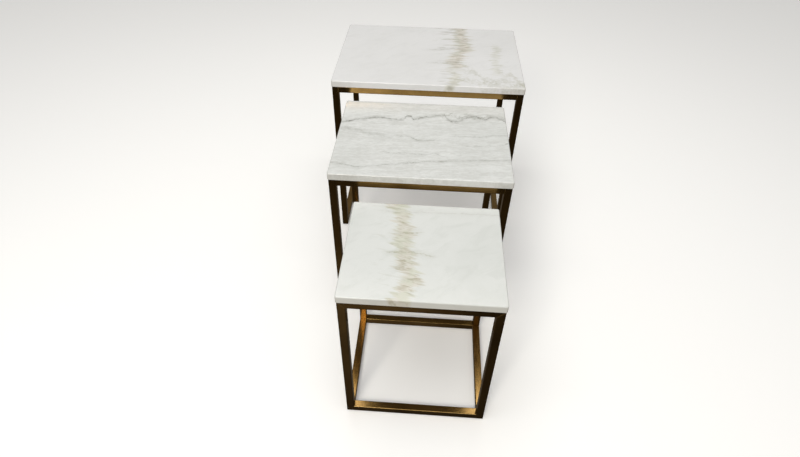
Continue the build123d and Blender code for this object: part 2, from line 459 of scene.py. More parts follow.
@dataclass(frozen=True)
class Marble:
    """A polished marble: its ground, its clouds and streaks, and the veins and bands that cross it."""

    PIT_WAVES: ClassVar[float] = 900.0
    CRYSTAL_WAVES: ClassVar[float] = 420.0
    CRYSTAL_TINT: ClassVar[float] = 0.035
    # Share of the painted shade that darkens the slab's underside.
    UNDERSIDE_SHADE_SHARE: ClassVar[float] = 0.75
    GLOSS_WAVES: ClassVar[float] = 6.0
    WORN_DULLNESS: ClassVar[float] = 0.12
    SHINE: ClassVar[float] = 0.45
    SAW_MARK_DEPTH: ClassVar[float] = 0.18
    PIT_DEPTH: ClassVar[float] = 0.05

    name: str
    ground: Colour
    cloud: Colour
    clouding: float = 0.5
    streak: Colour = (0.5, 0.5, 0.46)
    streaking: float = 0.0
    streak_turn: float = 0.0
    # Tint multiplied into the underside: painted shade under the slab.
    underside_shade_tint: Colour = (0.42, 0.40, 0.36)
    veins: tuple[Vein, ...] = ()
    bands: tuple[Band, ...] = ()

    def material(self, low: Vector, high: Vector, polish: Polish) -> bpy.types.Material:
        """Make the stone of one slab.

        Args:
            low: The slab's lowest corner.
            high: The slab's highest corner.
            polish: How its faces were finished.

        Returns:
            The stone's material.
        """
        material, wiring, shader = start_material(f"{self.name}_{polish.name.lower()}")
        size = high - low
        place = wiring.add("ShaderNodeTexCoord").outputs["Object"]
        edges = (-low.x / size.x, high.y / size.y, 0)
        shares = wiring.place(place, edges, scale=(1 / size.x, -1 / size.y, 1))
        split = wiring.add("ShaderNodeSeparateXYZ", {0: shares})
        spot = SlabPlace(place, split.outputs[0], split.outputs[1], size.x, size.y)
        colour = self.mottle(wiring, place)
        for band in self.bands:
            colour = band.paint(wiring, spot, colour)
        wobble, breaks = self.wander(wiring, place)
        worn = wiring.span(wiring.noise(place, self.PIT_WAVES, 1.0, 0.5), 0.70, 0.78)
        for vein in self.veins:
            mask = vein.mask(wiring, spot, wobble, breaks)
            colour = wiring.mix(mask, colour, vein.colour)
            worn = wiring.math("MAXIMUM", worn, mask)
        crystals = wiring.noise(place, self.CRYSTAL_WAVES, 2.0, 0.6)
        colour = wiring.mix(wiring.span(crystals, 0.35, 0.65, 0.0, self.CRYSTAL_TINT), colour, self.streak)
        # Painted shade: the underside's colour is multiplied darker, as the shade under the slab.
        if polish is Polish.SAWN:
            colour = wiring.mix(self.UNDERSIDE_SHADE_SHARE, colour, self.underside_shade_tint, "MULTIPLY")
        gloss = wiring.span(wiring.noise(place, self.GLOSS_WAVES), 0.3, 0.7, *polish.value)
        wiring.feed(shader, {
            "Base Color": colour,
            "Roughness": wiring.math("MULTIPLY_ADD", worn, self.WORN_DULLNESS, gloss, clamp=True),
            "Normal": self.relief(wiring, place, worn, polish),
            "Specular IOR Level": self.SHINE,
        })
        return material

    def mottle(self, wiring: Wiring, place: Socket) -> Socket:
        """Clouds and fine streaks of the stone's ground.

        Args:
            wiring: Node tree that the pattern joins.
            place: Coordinates in metres.

        Returns:
            The ground's colour.
        """
        billows = wiring.noise(place, 5.0, 4.0, 0.6, 0.6)
        colour = wiring.mix(wiring.span(billows, 0.35, 0.68, 0.0, self.clouding), self.ground, self.cloud)
        flecks = wiring.grain(place, (15, 34, 15), 4.0, 0.6, 0.8, shift=(4, 4, 0), turn=38)
        colour = wiring.mix(wiring.span(flecks, 0.47, 0.70, 0.0, self.clouding), colour, self.cloud)
        if not self.streaking:
            return colour
        long = wiring.grain(place, (7, 44, 7), 7.0, 0.70, 0.7, turn=self.streak_turn)
        short = wiring.grain(place, (70, 210, 70), 3.0, 0.65, 0.3, shift=(2, 0, 0), turn=self.streak_turn)
        both = wiring.math("MULTIPLY_ADD", short, 0.5, wiring.times(long, 0.5))
        return wiring.mix(wiring.span(both, 0.38, 0.64, 0.0, self.streaking), colour, self.streak)

    def wander(self, wiring: Wiring, place: Socket) -> tuple[Socket, Socket]:
        """Noises that bend and break the veins.

        Args:
            wiring: Node tree that the noises join.
            place: Coordinates in metres.

        Returns:
            Noise about 0 for the bends, and noise from 0 to 1 for the breaks.
        """
        slow = wiring.minus(wiring.noise(place, 26.0, 2.0, 0.5), 0.5)
        quick = wiring.minus(wiring.noise(place, 80.0, 4.0, 0.72), 0.5)
        bends = wiring.math("MULTIPLY_ADD", slow, 1.8, wiring.times(quick, 5.0))
        return bends, wiring.noise(place, 46.0, 4.0, 0.65)

    def relief(self, wiring: Wiring, place: Socket, worn: Socket, polish: Polish) -> Socket:
        """Fine relief: hollows along veins, and the arcs of the saw on an unpolished face.

        Args:
            wiring: Node tree that the relief joins.
            place: Coordinates in metres.
            worn: Mask of veins and pits.
            polish: How the face was finished.

        Returns:
            The bumped normal.
        """
        if polish is Polish.SAWN:
            flat = wiring.place(place, (0.4, 0.3, 0), scale=(1, 1, 0))
            arcs = {"Vector": flat, "Scale": 45.0, "Distortion": 0.6}
            wave = wiring.add("ShaderNodeTexWave", arcs, wave_type="RINGS", rings_direction="SPHERICAL")
            height, strength = wave.outputs["Fac"], self.SAW_MARK_DEPTH
        else:
            height, strength = wiring.minus(1.0, worn), self.PIT_DEPTH
        bump = {"Strength": strength, "Distance": 0.2 * MM, "Height": height}
        return wiring.add("ShaderNodeBump", bump).outputs[0]


@dataclass(frozen=True)
class AntiqueBrass:
    """Dark antique brass: satin, brushed along each tube, darker round the joints and rubbed on its edges."""

    EDGE: ClassVar[Point] = (0.86, 0.97)
    RUBBED_SHARE: ClassVar[float] = 0.75
    SEAM_STAIN: ClassVar[Ramp] = (0.0, 1.3 * MM, 0.85, 0.0)
    HEAT_STAIN: ClassVar[Ramp] = (0.0, 16 * MM, 0.35, 0.0)

    name: str = "antique_brass"
    bright: Colour = (0.345, 0.214, 0.068)
    dark: Colour = (0.205, 0.12, 0.033)
    rubbed: Colour = (0.50, 0.35, 0.15)
    stain: Colour = (0.03, 0.018, 0.007)
    roughness: float = 0.21
    lacquer: float = 0.22
    lacquer_roughness: float = 0.14
    half_tube: float = 10 * MM

    def tube_material(self) -> bpy.types.Material:
        """Make the brass of the tubes, which reads each tube's own coordinates.

        Returns:
            The material, brushed along each tube.
        """
        material, wiring, shader = self.begin("tube")
        place = wiring.add("ShaderNodeAttribute", attribute_name="tube_place").outputs["Vector"]
        gap = wiring.add("ShaderNodeAttribute", attribute_name="seam_gap").outputs["Fac"]
        split = wiring.add("ShaderNodeSeparateXYZ", {0: place})
        reach = wiring.math("MINIMUM", *(wiring.math("ABSOLUTE", split.outputs[axis]) for axis in (0, 1)))
        brushing = wiring.grain(place, (1600, 1600, 14), 2.0, 0.6)
        colour = self.patina(wiring, place, (10, 10, 5))
        edge = wiring.span(reach, *(self.half_tube * share for share in self.EDGE))
        patchy = wiring.span(wiring.grain(place, (60, 60, 22)), 0.42, 0.66)
        rubbing = wiring.times(edge, wiring.times(patchy, self.RUBBED_SHARE))
        colour = wiring.mix(rubbing, colour, self.rubbed)
        heat = wiring.times(wiring.span(gap, *self.HEAT_STAIN), patchy)
        stained = wiring.math("MAXIMUM", wiring.span(gap, *self.SEAM_STAIN), heat)
        colour = wiring.mix(stained, colour, self.stain)
        self.finish(wiring, shader, colour, brushing, wiring.times(stained, 0.25))
        return material

    def plate_material(self) -> bpy.types.Material:
        """Make the brass of the flat tabs and weld beads, which reads object coordinates.

        Returns:
            The material, with an even grain.
        """
        material, wiring, shader = self.begin("plate")
        place = wiring.add("ShaderNodeTexCoord").outputs["Object"]
        brushing = wiring.grain(place, (60, 900, 200), 2.0, 0.6, turn=45)
        colour = self.patina(wiring, place, (24, 24, 24))
        self.finish(wiring, shader, colour, brushing, wiring.times(brushing, 0.1))
        return material

    def begin(self, kind: str) -> tuple[bpy.types.Material, Wiring, bpy.types.Node]:
        """Start a lacquered metal.

        Args:
            kind: What it is put on, for its name.

        Returns:
            The material, the wiring of its tree, and its shader.
        """
        material, wiring, shader = start_material(f"{self.name}_{kind}")
        wiring.feed(shader, {
            "Metallic": 1.0, "Coat Weight": self.lacquer, "Coat Roughness": self.lacquer_roughness,
        })
        return material, wiring, shader

    def patina(self, wiring: Wiring, place: Socket, waves: Triple) -> Socket:
        """Mottled dark and bright patches of the finish.

        Args:
            wiring: Node tree that the pattern joins.
            place: Coordinates in metres.
            waves: Patches per metre along each axis.

        Returns:
            The mottled colour.
        """
        patches = wiring.grain(place, waves, 5.0, 0.62, 0.3)
        specks = wiring.grain(place, (260, 260, 120), 2.0, 0.6)
        colour = wiring.mix(wiring.span(patches, 0.30, 0.70), self.dark, self.bright)
        return wiring.mix(wiring.span(specks, 0.62, 0.74, 0.0, 0.25), colour, self.dark)

    def finish(
        self,
        wiring: Wiring,
        shader: bpy.types.Node,
        colour: Socket,
        grain: Socket,
        dull: Socket,
    ) -> None:
        """Connect colour, roughness and brushed relief to the shader.

        Args:
            wiring: Node tree of the material.
            shader: Its shader.
            colour: The metal's colour.
            grain: Noise of the brushing.
            dull: Roughness that stains add.
        """
        brushed = wiring.span(grain, 0.2, 0.8, self.roughness - 0.03, self.roughness + 0.04)
        bump = wiring.add("ShaderNodeBump", {"Strength": 0.08, "Distance": 0.03 * MM, "Height": grain})
        wiring.feed(shader, {
            "Base Color": colour,
            "Roughness": wiring.math("ADD", brushed, dull, clamp=True),
            "Normal": bump.outputs[0],
        })


@dataclass(frozen=True)
class SmallPartFinish:
    """Finish of a small fitting: zinc, turned brass or moulded plastic."""

    name: str
    light: Colour
    dark: Colour
    metallic: float
    roughness: float
    grain: float = 700.0
    blooms: float = 700.0 / 6

    def material(self) -> bpy.types.Material:
        """Make the fitting's material.

        Returns:
            The material, with fine mottling and relief.
        """
        material, wiring, shader = start_material(self.name)
        place = wiring.add("ShaderNodeTexCoord").outputs["Object"]
        grain = wiring.noise(place, self.grain, 3.0, 0.6)
        blooms = wiring.noise(place, self.blooms, 3.0, 0.6)
        bump = wiring.add("ShaderNodeBump", {"Strength": 0.15, "Distance": 0.04 * MM, "Height": grain})
        wiring.feed(shader, {
            "Base Color": wiring.mix(wiring.span(blooms, 0.35, 0.68), self.light, self.dark),
            "Metallic": self.metallic,
            "Roughness": wiring.span(grain, 0.3, 0.7, self.roughness - 0.05, self.roughness + 0.08),
            "Normal": bump.outputs[0],
        })
        return material


class GeometryTree:
    """A Geometry Nodes tree with named inputs, made in code and run on an empty mesh."""

    def __init__(self, name: str) -> None:
        """Start a tree.

        Args:
            name: The tree's name.
        """
        self.tree = bpy.data.node_groups.new(name, "GeometryNodeTree")
        self.tree.interface.new_socket("Geometry", in_out="INPUT", socket_type="NodeSocketGeometry")
        self.tree.interface.new_socket("Geometry", in_out="OUTPUT", socket_type="NodeSocketGeometry")
        self.wiring = Wiring(self.tree)
        self.identifiers: dict[str, str] = {}
        self.given: dict[str, Socket] = {}

    def takes(self, **kinds: tuple[str, object]) -> dict[str, Socket]:
        """Give the tree its named inputs.

        Args:
            kinds: Input name to its socket kind and default.

        Returns:
            Input name to the socket that gives its value.
        """
        for name, (kind, default) in kinds.items():
            socket = self.tree.interface.new_socket(name, in_out="INPUT", socket_type=f"NodeSocket{kind}")
            if default is not None:
                socket.default_value = default
            self.identifiers[name] = socket.identifier
        entry = self.wiring.add("NodeGroupInput")
        self.given = {name: entry.outputs[name] for name in self.identifiers}
        return self.given

    def ends(self, geometry: Socket) -> None:
        """Finish the tree: real meshes, then the material.

        Args:
            geometry: What the tree has made.
        """
        real = self.wiring.add("GeometryNodeRealizeInstances", {0: geometry})
        finish = {0: real.outputs[0], "Material": self.given["material"]}
        dressed = self.wiring.add("GeometryNodeSetMaterial", finish)
        self.wiring.add("NodeGroupOutput", {0: dressed.outputs[0]})

    def run(self, name: str, **values: object) -> bpy.types.Mesh:
        """Run the tree once and keep the result as a plain mesh.

        Args:
            name: Name for the mesh.
            values: Input name to its value.

        Returns:
            The finished mesh.
        """
        carrier = bpy.data.objects.new(f"{name}_carrier", bpy.data.meshes.new(f"{name}_carrier"))
        bpy.context.scene.collection.objects.link(carrier)
        modifier = carrier.modifiers.new("nodes", "NODES")
        modifier.node_group = self.tree
        for key, value in values.items():
            modifier[self.identifiers[key]] = value
        graph = bpy.context.evaluated_depsgraph_get()
        mesh = bpy.data.meshes.new_from_object(carrier.evaluated_get(graph), depsgraph=graph)
        carrier.modifiers.remove(modifier)
        bpy.data.objects.remove(carrier)
        mesh.name = name
        return mesh


def shade(mesh: bpy.types.Mesh) -> None:
    """Shade rounded faces smooth and flat faces flat, with sharp folds kept.

    Args:
        mesh: The mesh that is shaded.
    """
    work = bmesh.new()
    work.from_mesh(mesh)
    for face in work.faces:
        face.smooth = max(abs(part) for part in face.normal) < FLAT_NORMAL
    for edge in work.edges:
        edge.smooth = not (len(edge.link_faces) == 2 and edge.calc_face_angle(0.0) > SMOOTH_LIMIT)
    work.to_mesh(mesh)
    work.free()


def show(mesh: bpy.types.Mesh, body: str, slot: str, *nodes: str) -> bpy.types.Object:
    """Put a finished mesh in the scene as a piece.

    Args:
        mesh: The mesh, already in its place.
        body: The body that it rides on.
        slot: Name of a material slot; not used.
        nodes: The nodes that it stands for.

    Returns:
        The piece.
    """
    piece = bpy.data.objects.new(mesh.name, mesh)
    bpy.context.scene.collection.objects.link(piece)
    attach(piece, body)
    if nodes:
        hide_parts(*nodes)
    return piece


def dress(node: bpy.types.Object, finish: bpy.types.Material) -> None:
    """Give a carried-over node one finish.

    Args:
        node: The node's object.
        finish: Its new material.
    """
    node.data.materials.clear()
    node.data.materials.append(finish)


def close_rings(name: str, rings: list[list[Vector]]) -> bpy.types.Mesh:
    """Close a stack of rings with the same number of points into a solid shape.

    Args:
        name: Name for the mesh.
        rings: Rings of points, from the bottom to the top.

    Returns:
        The closed mesh, with its faces outwards.
    """
    work = bmesh.new()
    made = [[work.verts.new(point) for point in ring] for ring in rings]
    for lower, upper in zip(made, made[1:]):
        for index in range(len(lower)):
            after = (index + 1) % len(lower)
            work.faces.new((lower[index], lower[after], upper[after], upper[index]))
    work.faces.new(list(reversed(made[0])))
    work.faces.new(made[-1])
    bmesh.ops.recalc_face_normals(work, faces=work.faces)
    mesh = bpy.data.meshes.new(name)
    work.to_mesh(mesh)
    work.free()
    return mesh


@dataclass
class Slab:
    """A stone top: rounded corners, a pencil-rounded upper edge, an eased lower edge and a sawn underside."""

    SAWN_HEIGHT: ClassVar[float] = 0.1 * MM
    SHARPEST_CORNER: ClassVar[float] = 0.5 * MM

    table: str
    marble: Marble
    corner: float = 5 * MM
    upper_ease: float = 3 * MM
    lower_ease: float = 1 * MM
    border: float = 14 * MM
    corner_steps: int = 10
    ease_steps: int = 6

    def outline(self, low: Vector, high: Vector, inset: float, height: float) -> list[Vector]:
        """Points round the slab at one inset and height.

        Args:
            low: The slab's lowest corner.
            high: The slab's highest corner.
            inset: How far inside the full outline.
            height: Height of the points.

        Returns:
            The points, anticlockwise seen from above.
        """
        radius = max(self.corner - inset, self.SHARPEST_CORNER)
        middles = [
            (high.x - inset - radius, high.y - inset - radius),
            (low.x + inset + radius, high.y - inset - radius),
            (low.x + inset + radius, low.y + inset + radius),
            (high.x - inset - radius, low.y + inset + radius),
        ]
        points = []
        for quarter, (x, y) in enumerate(middles):
            for step in range(self.corner_steps + 1):
                angle = math.radians(90 * (quarter + step / self.corner_steps))
                points.append(Vector((x + radius * math.cos(angle), y + radius * math.sin(angle), height)))
        return points

    def profile(self, low: Vector, high: Vector) -> list[Point]:
        """Insets and heights of the rings, from the underside's border to the top's border.

        Args:
            low: The slab's lowest corner.
            high: The slab's highest corner.

        Returns:
            Pairs of inset and height.
        """
        turns = [math.radians(90 * step / self.ease_steps) for step in range(self.ease_steps + 1)]
        lower, upper = self.lower_ease, self.upper_ease
        rings = [(self.border, low.z)]
        rings += [(lower * (1 - math.sin(turn)), low.z + lower * (1 - math.cos(turn))) for turn in turns]
        rings += [(upper * (1 - math.cos(turn)), high.z - upper * (1 - math.sin(turn))) for turn in turns]
        rings.append((self.border, high.z))
        return rings

    def build(self) -> bpy.types.Object:
        """Make the slab and dress it.

        Returns:
            The slab's piece.
        """
        node = f"{self.table}_top_slab"
        low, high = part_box(node)
        rings = [self.outline(low, high, inset, height) for inset, height in self.profile(low, high)]
        mesh = close_rings(f"{self.table}_marble_slab", rings)
        mesh.materials.append(self.marble.material(low, high, Polish.POLISHED))
        mesh.materials.append(self.marble.material(low, high, Polish.SAWN))
        for face in mesh.polygons:
            face.material_index = int(face.center.z < low.z + self.SAWN_HEIGHT)
        shade(mesh)
        return show(mesh, f"{self.table}_table", f"marble_{self.table}", node)


class SquareTubeTree(GeometryTree):
    """Grows one square tube along Z, with mitred or square ends and a fine groove where it was welded."""

    CORNER_STEPS: ClassVar[int] = 4
    END_SHARE: ClassVar[float] = 0.001

    def __init__(self) -> None:
        """Build the tree."""
        super().__init__("square_tube")
        given = self.takes(
            length=("Float", 0.4), size=("Float", 0.02), corner=("Float", 0.0016), mitre=("Float", 1.0),
            groove=("Float", 0.00035), stations=("Int", 40), shift=("Float", 0.0),
            material=("Material", None),
        )
        wiring = self.wiring
        half = wiring.times(given["size"], 0.5)
        square = {"Width": given["size"], "Height": given["size"]}
        profile = wiring.add("GeometryNodeCurvePrimitiveQuadrilateral", square)
        fillet = {0: profile.outputs[0], "Count": self.CORNER_STEPS, "Radius": given["corner"]}
        rounded = wiring.add("GeometryNodeFilletCurve", fillet, mode="POLY")
        path = wiring.add("GeometryNodeCurvePrimitiveLine", {"End": (0, 0, 1)})
        spaced = wiring.add("GeometryNodeResampleCurve", {0: path.outputs[0], "Count": given["stations"]})
        share = wiring.add("GeometryNodeSplineParameter").outputs["Factor"]
        wave = wiring.math("COSINE", wiring.times(share, math.pi))
        clustered = wiring.math("MULTIPLY_ADD", wave, -0.5, 0.5)
        height = wiring.add("ShaderNodeCombineXYZ", {2: wiring.times(clustered, given["length"])})
        line = wiring.add("GeometryNodeSetPosition", {0: spaced.outputs[0], "Position": height.outputs[0]})
        inner = wiring.math("MINIMUM", share, wiring.minus(1.0, share))
        at_end = wiring.math("LESS_THAN", inner, self.END_SHARE)
        shrink = wiring.math("DIVIDE", wiring.times(at_end, given["groove"]), half)
        width = wiring.minus(1.0, shrink)
        sweep = {0: line.outputs[0], 1: rounded.outputs[0], "Scale": width, "Fill Caps": True}
        skin = wiring.add("GeometryNodeCurveToMesh", sweep)
        self.ends(self.cut_mitres(skin.outputs[0], given, half))

    def cut_mitres(self, skin: Socket, given: dict[str, Socket], half: Socket) -> Socket:
        """Slope both ends, and keep each point's place in the tube for the finish.

        Args:
            skin: The square-ended tube.
            given: The tree's inputs by name.
            half: Half the tube's size.

        Returns:
            The mitred tube.
        """
        wiring = self.wiring
        split = wiring.add("ShaderNodeSeparateXYZ", {0: wiring.add("GeometryNodeInputPosition").outputs[0]})
        cut = wiring.times(given["mitre"], wiring.minus(half, split.outputs[0]))
        share = wiring.math("DIVIDE", split.outputs[2], given["length"])
        rise = wiring.times(cut, wiring.math("MULTIPLY_ADD", share, -2.0, 1.0))
        offset = wiring.add("ShaderNodeCombineXYZ", {2: rise})
        moved = wiring.add("GeometryNodeSetPosition", {0: skin, "Offset": offset.outputs[0]})
        nearest = wiring.math("MINIMUM", share, wiring.minus(1.0, share))
        gap = wiring.times(nearest, given["length"])
        marked = self.keep(moved.outputs[0], "seam_gap", "FLOAT", gap)
        shifted = wiring.plus(split.outputs[2], given["shift"])
        lie = wiring.add("ShaderNodeCombineXYZ", {0: split.outputs[0], 1: split.outputs[1], 2: shifted})
        return self.keep(marked, "tube_place", "FLOAT_VECTOR", lie.outputs[0])

    def keep(self, geometry: Socket, name: str, kind: str, value: Socket) -> Socket:
        """Store a value on each point, for the finish to read.

        Args:
            geometry: What the value is stored on.
            name: Name of the attribute.
            kind: Blender's name for the attribute's type.
            value: The value.

        Returns:
            The geometry with its new attribute.
        """
        stored = self.wiring.add(
            "GeometryNodeStoreNamedAttribute", {0: geometry, "Name": name}, data_type=kind, domain="POINT",
        )
        self.wiring.feed(stored, {"Value": value})
        return stored.outputs[0]


@dataclass
class SquareTube:
    """One leg or rail: a length of square tube between two faces of the frame."""

    node: str
    body: str
    outward: Side
    mitred: bool
    number: int
    corner: float = 1.6 * MM
    groove: float = 0.35 * MM
    stations: int = 40
    pattern_step: float = 1.7

    def build(self, tree: SquareTubeTree, finish: bpy.types.Material) -> bpy.types.Object:
        """Grow the tube and lay it where the frame has it.

        Args:
            tree: The tree that grows tubes.
            finish: The tube's material.

        Returns:
            The tube's piece.
        """
        low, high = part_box(self.node)
        size = high - low
        axis = max(range(3), key=lambda index: size[index])
        along = Vector([float(index == axis) for index in range(3)])
        outward = Vector(self.outward.value)
        middle = (low + high) / 2
        start = middle - along * size[axis] / 2
        mesh = tree.run(
            f"{self.node}_tube", length=size[axis], size=min(size), corner=self.corner,
            mitre=float(self.mitred), groove=self.groove, stations=self.stations,
            shift=self.pattern_step * self.number, material=finish,
        )
        turn = Matrix((outward, along.cross(outward), along)).transposed().to_4x4()
        mesh.transform(Matrix.Translation(start) @ turn)
        shade(mesh)
        return show(mesh, self.body, "antique_brass", self.node)


@dataclass
class FrameOfTubes:
    """The welded frame under one slab: four legs, the ring under the slab, and the rails at the floor."""

    table: str
    closed: bool
    tubes: list[SquareTube] = field(default_factory=list)

    def lay_out(self) -> None:
        """List the frame's tubes: mitred loops first, then the rails welded square between them."""
        sides = {"left": Side.LEFT, "right": Side.RIGHT}
        ends = {"front": Side.FRONT, "back": Side.BACK}
        levels = {"bottom": Side.DOWN, "top": Side.UP}
        looped, joining = (ends, sides) if self.closed else (sides, ends)
        for end in ends:
            for side in sides:
                outward = sides[side] if self.closed else ends[end]
                self.add(f"leg_{end}_{side}", outward, True)
        for level, outward in levels.items():
            for place in looped:
                self.add(f"{level}_rail_{place}", outward, True)
            for place in joining:
                if self.closed or (level, place) != ("bottom", "front"):
                    self.add(f"{level}_rail_{place}", outward, False)

    def add(self, name: str, outward: Side, mitred: bool) -> None:
        """Add one tube to the list.

        Args:
            name: The tube's name without its table's.
            outward: Where the long side of its mitres points.
            mitred: Whether its ends are mitred.
        """
        node, body = f"{self.table}_{name}", f"{self.table}_table"
        self.tubes.append(SquareTube(node, body, outward, mitred, len(self.tubes)))

    def build(self, tree: SquareTubeTree, finish: bpy.types.Material) -> list[bpy.types.Object]:
        """Build every tube of the frame.

        Args:
            tree: The tree that grows tubes.
            finish: The tubes' material.

        Returns:
            The tubes' pieces.
        """
        self.lay_out()
        return [tube.build(tree, finish) for tube in self.tubes]


def ring(radius: float, height: float, points: int, sides: int = 0) -> list[Vector]:
    """Points round a circle, or round a polygon of that inner radius.

    Args:
        radius: Radius of the circle, or from the middle to the flats.
        height: Height of the ring.
        points: Number of points.
        sides: Number of flats, or 0 for a circle.

    Returns:
        The points.
    """
    result = []
    for index in range(points):
        angle = math.tau * index / points
        reach = radius
        if sides:
            flat = math.tau / sides
            reach = radius / math.cos((angle + flat / 2) % flat - flat / 2)
        result.append(Vector((reach * math.cos(angle), reach * math.sin(angle), height)))
    return result


class FourSpotsTree(GeometryTree):
    """Sets one small fitting at the four corners of a rectangle."""

    def __init__(self) -> None:
        """Build the tree."""
        super().__init__("four_spots")
        given = self.takes(
            spacing_x=("Float", 0.3), spacing_y=("Float", 0.3), fitting=("Object", None),
            turn=("Float", 0.4), seed=("Int", 3), material=("Material", None),
        )
        wiring = self.wiring
        corners = {
            "Size X": given["spacing_x"], "Size Y": given["spacing_y"],
            "Vertices X": 2, "Vertices Y": 2,
        }
        grid = wiring.add("GeometryNodeMeshGrid", corners)
        source = wiring.add("GeometryNodeObjectInfo", {"Object": given["fitting"]})
        chance = {RANDOM_LOW: 0.0, RANDOM_HIGH: given["turn"], "Seed": given["seed"]}
        angle = wiring.add("FunctionNodeRandomValue", chance, data_type="FLOAT")
        axis = wiring.add("ShaderNodeCombineXYZ", {2: angle.outputs[RANDOM_RESULT]})
        turned = wiring.add("FunctionNodeEulerToRotation", {0: axis.outputs[0]})
        fitted = {
            0: grid.outputs[0], "Instance": source.outputs["Geometry"], "Rotation": turned.outputs[0],
        }
        copies = wiring.add("GeometryNodeInstanceOnPoints", fitted)
        self.ends(copies.outputs[0])


@dataclass
class Fittings:
    """The four slab screws and four foot glides of one table."""

    DOME_TURNS: ClassVar[tuple[float, ...]] = tuple(math.radians(18 * step) for step in range(6))
    HEX: ClassVar[int] = 6

    table: str
    head_radius: float = 4.75 * MM
    head_height: float = 3 * MM
    head_flat: float = 0.6
    head_dome: float = 0.85
    socket: float = 1.5 * MM
    socket_depth: float = 1.8 * MM
    socket_ease: float = 0.15 * MM
    socket_mouth: float = 1.28
    shank: float = 2.4 * MM
    thread_root: float = 0.86
    crests: int = 9
    screw_facets: int = 24
    glide_radius: float = 8 * MM
    glide_height: float = 3 * MM
    sole_flat: float = 0.62
    sole_edge: float = 0.88
    sole_rise: float = 1 * MM
    step_share: float = 0.95
    stem: float = 3 * MM
    stem_height: float = 1.8 * MM
    barb: float = 4 * MM
    stem_tip: float = 2.2 * MM
    glide_facets: int = 32

    def screw(self) -> bpy.types.Mesh:
        """A button head screw, head down, with its highest point at 0."""
        points, length = self.screw_facets, self.length(f"{self.table}_slab_screws")
        head = -length + self.head_height
        rings = [
            ring(self.socket, -length + self.socket_depth, points, self.HEX),
            ring(self.socket, -length + self.socket_ease, points, self.HEX),
            ring(self.socket * self.socket_mouth, -length, points),
        ]
        dome = self.head_dome * self.head_height
        for turn in self.DOME_TURNS:
            radius = self.head_radius * (self.head_flat + (1 - self.head_flat) * math.sin(turn))
            rings.append(ring(radius, -length + dome * (1 - math.cos(turn)), points))
        rings += [ring(self.head_radius, head, points), ring(self.shank, head, points)]
        pitch = (length - self.head_height) / self.crests
        for crest in range(self.crests):
            rings.append(ring(self.shank * self.thread_root, head + pitch * (crest + 0.5), points))
            rings.append(ring(self.shank, head + pitch * (crest + 1), points))
        return close_rings(f"{self.table}_screw_pattern", rings)

    def glide(self) -> bpy.types.Mesh:
        """A foot glide with a domed sole, a moulded step and a barbed stem, standing on 0."""
        radius, height = self.glide_radius, self.glide_height
        profile = [(radius * self.sole_flat, 0.0)]
        for turn in self.DOME_TURNS[1:]:
            reach = self.sole_edge + (1 - self.sole_edge) * math.sin(turn)
            profile.append((radius * reach, self.sole_rise * (1 - math.cos(turn))))
        profile += [(radius, height * 0.72), (radius * self.step_share, height * 0.8)]
        profile += [(radius * self.step_share, height), (self.stem, height)]
        profile += [(self.stem, height + self.stem_height), (self.barb, height + self.stem_height)]
        profile.append((self.stem_tip, self.length(f"{self.table}_foot_glides")))
        rings = [ring(reach, level, self.glide_facets) for reach, level in profile]
        return close_rings(f"{self.table}_glide_pattern", rings)

    def length(self, node: str) -> float:
        """Height of a node's box."""
        low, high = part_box(node)
        return high.z - low.z

    def build(
        self,
        tree: FourSpotsTree,
        zinc: bpy.types.Material,
        plastic: bpy.types.Material,
    ) -> list[bpy.types.Object]:
        """Set out the screws and the glides.

        Args:
            tree: The tree that sets a fitting at four spots.
            zinc: The screws' material.
            plastic: The glides' material.

        Returns:
            The two pieces.
        """
        kinds = (
            ("slab_screws", self.screw(), self.head_radius, True, zinc, "zinc_steel"),
            ("foot_glides", self.glide(), self.glide_radius, False, plastic, "glide_plastic"),
        )
        pieces = []
        for kind, pattern, radius, hangs, finish, slot in kinds:
            node = f"{self.table}_{kind}"
            low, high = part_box(node)
            model = bpy.data.objects.new(pattern.name, pattern)
            bpy.context.scene.collection.objects.link(model)
            spacing_x, spacing_y = (high[axis] - low[axis] - 2 * radius for axis in (0, 1))
            mesh = tree.run(
                f"{node}_set", spacing_x=spacing_x, spacing_y=spacing_y, fitting=model,
                turn=math.tau * hangs, seed=len(self.table), material=finish,
            )
            bpy.data.objects.remove(model)
            middle = (low + high) / 2
            mesh.transform(Matrix.Translation((middle.x, middle.y, high.z if hangs else low.z)))
            shade(mesh)
            pieces.append(show(mesh, f"{self.table}_table", slot, node))
        return pieces


class WeldBeadTree(GeometryTree):
    """Lays a row of overlapping weld ripples along a line."""

    SMALLEST: ClassVar[float] = 0.85
    LARGEST: ClassVar[float] = 1.12

    def __init__(self) -> None:
        """Build the tree."""
        super().__init__("weld_bead")
        given = self.takes(
            start=("Vector", (0, 0, 0)), end=("Vector", (0, 0, 0.02)), pitch=("Float", 0.0011),
            size=("Vector", (0.0016, 0.0016, 0.0012)), seed=("Int", 5), material=("Material", None),
        )
        wiring = self.wiring
        line = wiring.add("GeometryNodeCurvePrimitiveLine", {"Start": given["start"], "End": given["end"]})
        spaced = {0: line.outputs[0], "Length": given["pitch"]}
        spots = wiring.add("GeometryNodeCurveToPoints", spaced, mode="LENGTH")
        ripple = wiring.add("GeometryNodeMeshUVSphere", {"Segments": 8, "Rings": 6, "Radius": 1.0})
        chance = {RANDOM_LOW: self.SMALLEST, RANDOM_HIGH: self.LARGEST, "Seed": given["seed"]}
        vary = wiring.add("FunctionNodeRandomValue", chance, data_type="FLOAT")
        scale = wiring.add("ShaderNodeVectorMath", {0: given["size"]}, operation="SCALE")
        wiring.feed(scale, {"Scale": vary.outputs[RANDOM_RESULT]})
        laid = {
            0: spots.outputs["Points"], "Instance": ripple.outputs[0],
            "Rotation": spots.outputs["Rotation"], "Scale": scale.outputs[0],
        }
        row = wiring.add("GeometryNodeInstanceOnPoints", laid)
        self.ends(row.outputs[0])


